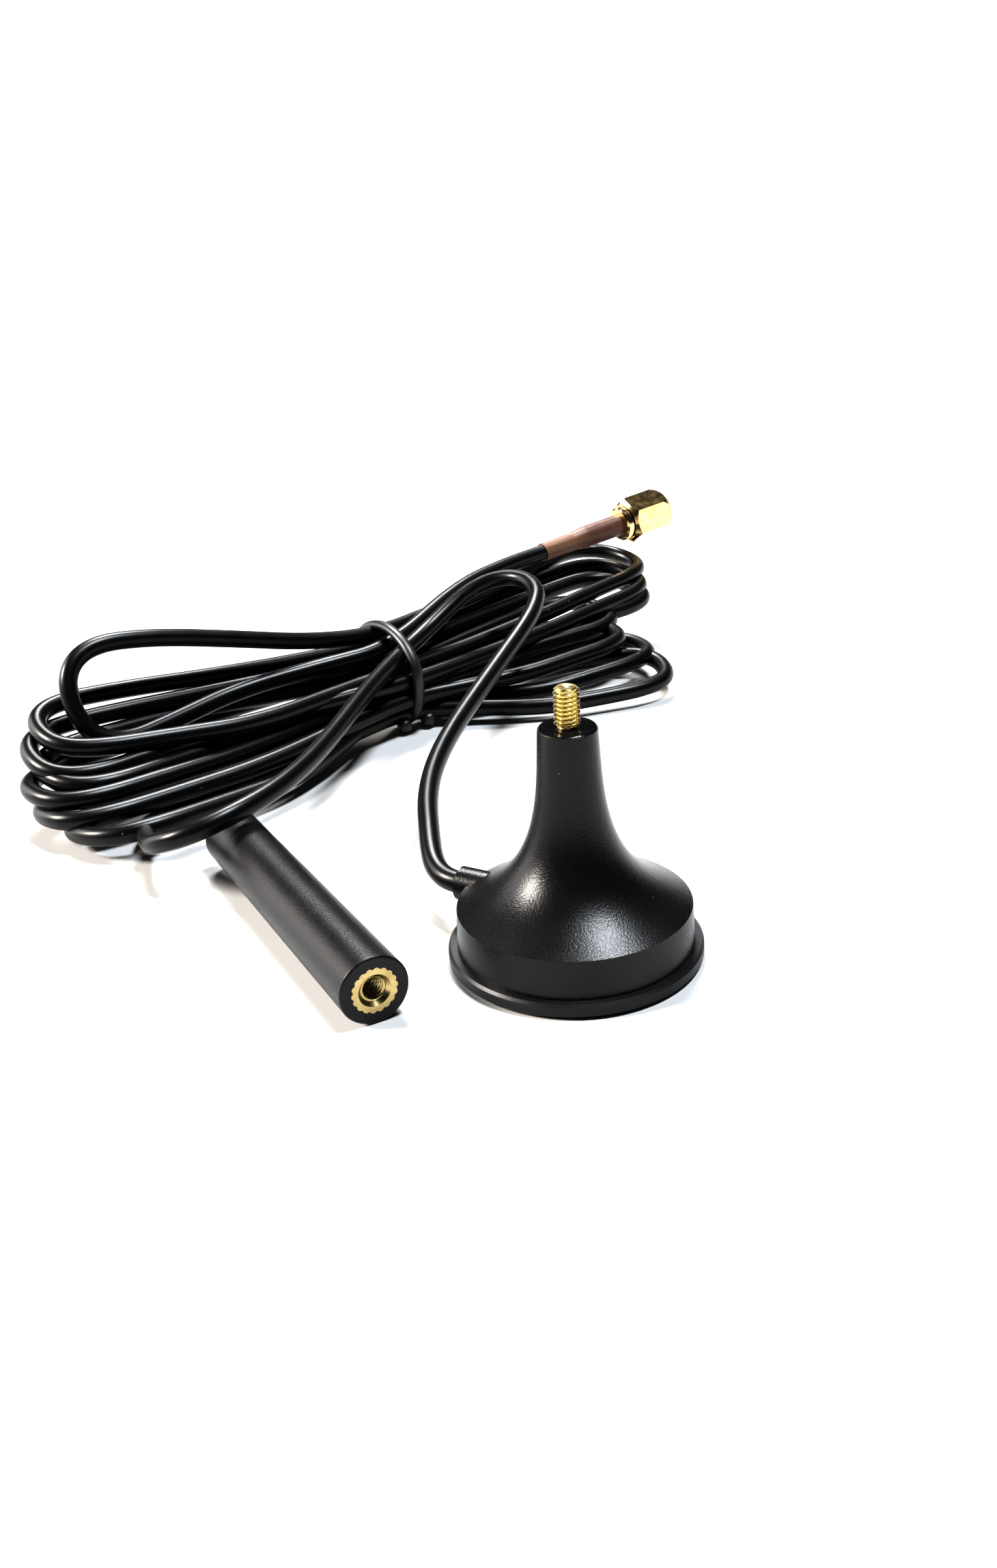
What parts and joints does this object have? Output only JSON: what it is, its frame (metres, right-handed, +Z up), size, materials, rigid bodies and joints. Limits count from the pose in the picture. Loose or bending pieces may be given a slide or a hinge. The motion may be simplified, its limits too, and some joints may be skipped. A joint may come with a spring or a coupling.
{
  "type": "omnidirectional antenna",
  "caption": "Small magnetic-base omnidirectional antenna taken apart: bell base with threaded stud, unscrewed whip, and coax lead in a tied hank with a coax plug.",
  "frame": {"origin": "base axis, in the plane of the foot", "axes": "+Z up along the stud; +Y towards the hank of cable behind the base; -X towards the side the cable leaves from"},
  "size_m": [0.102, 0.1546, 0.0332],
  "materials": {
    "foot_pvc": "satin soft PVC",
    "housing_plastic": "fine-grained matte ABS",
    "whip_plastic": "fine-grained matte ABS",
    "magnet_nickel": "nickel plated",
    "zinc_steel": "zinc plated",
    "tinned_copper": "tinned",
    "brass": "turned",
    "gold_plate": "gold plated, polished",
    "solder": "bright",
    "bare_copper": "enamelled copper wire",
    "cable_pvc": "satin PVC jacket",
    "tie_pvc": "satin PVC-covered wire",
    "dielectric": "natural polyethylene",
    "former_pom": "natural acetal",
    "foam": "closed-cell foam",
    "shrink_brown": "brown heat-shrink",
    "ptfe": "PTFE",
    "spring_bronze": "phosphor bronze",
    "silicone_red": "silicone rubber"
  },
  "bodies": {
    "root": {"foot_cup": "foot_pvc", "magnet": "magnet_nickel", "pole_plate": "zinc_steel", "ground_washer": "tinned_copper", "base_housing": "housing_plastic", "threaded_stud": "brass", "coax_jacket_end": "cable_pvc", "coax_dielectric": "dielectric", "coax_core": "tinned_copper", "cable_crimp_ring": "brass", "coax_braid_tail": "tinned_copper", "stud_solder_joint": "solder", "cable_lead": "cable_pvc", "cable_hank": "cable_pvc", "cable_tie": "tie_pvc", "cable_tail": "cable_pvc", "shrink_sleeve": "shrink_brown", "crimp_ferrule": "brass", "plug_body": "gold_plate", "plug_insulator": "ptfe", "plug_pin": "gold_plate", "snap_ring": "spring_bronze", "plug_gasket": "silicone_red"},
    "whip": {"whip_tube": "whip_plastic", "whip_insert": "brass", "whip_cap": "whip_plastic", "coil_former": "former_pom", "tip_pad": "foam", "radiator_lead": "bare_copper", "radiator_helix": "bare_copper"},
    "nut": {"coupling_nut": "gold_plate"}
  },
  "joints": [
    {"name": "whip_slide", "type": "slide", "parent": "root", "child": "whip", "axis": [0.503, -0.8643, 0], "range_m": [0, 0.05]},
    {"name": "nut_turn", "type": "hinge", "parent": "root", "child": "nut", "pos_m": [0.01573, 0.13228, 0.02077], "axis": [0.7971, 0.595, 0.103], "continuous": true}
  ]
}
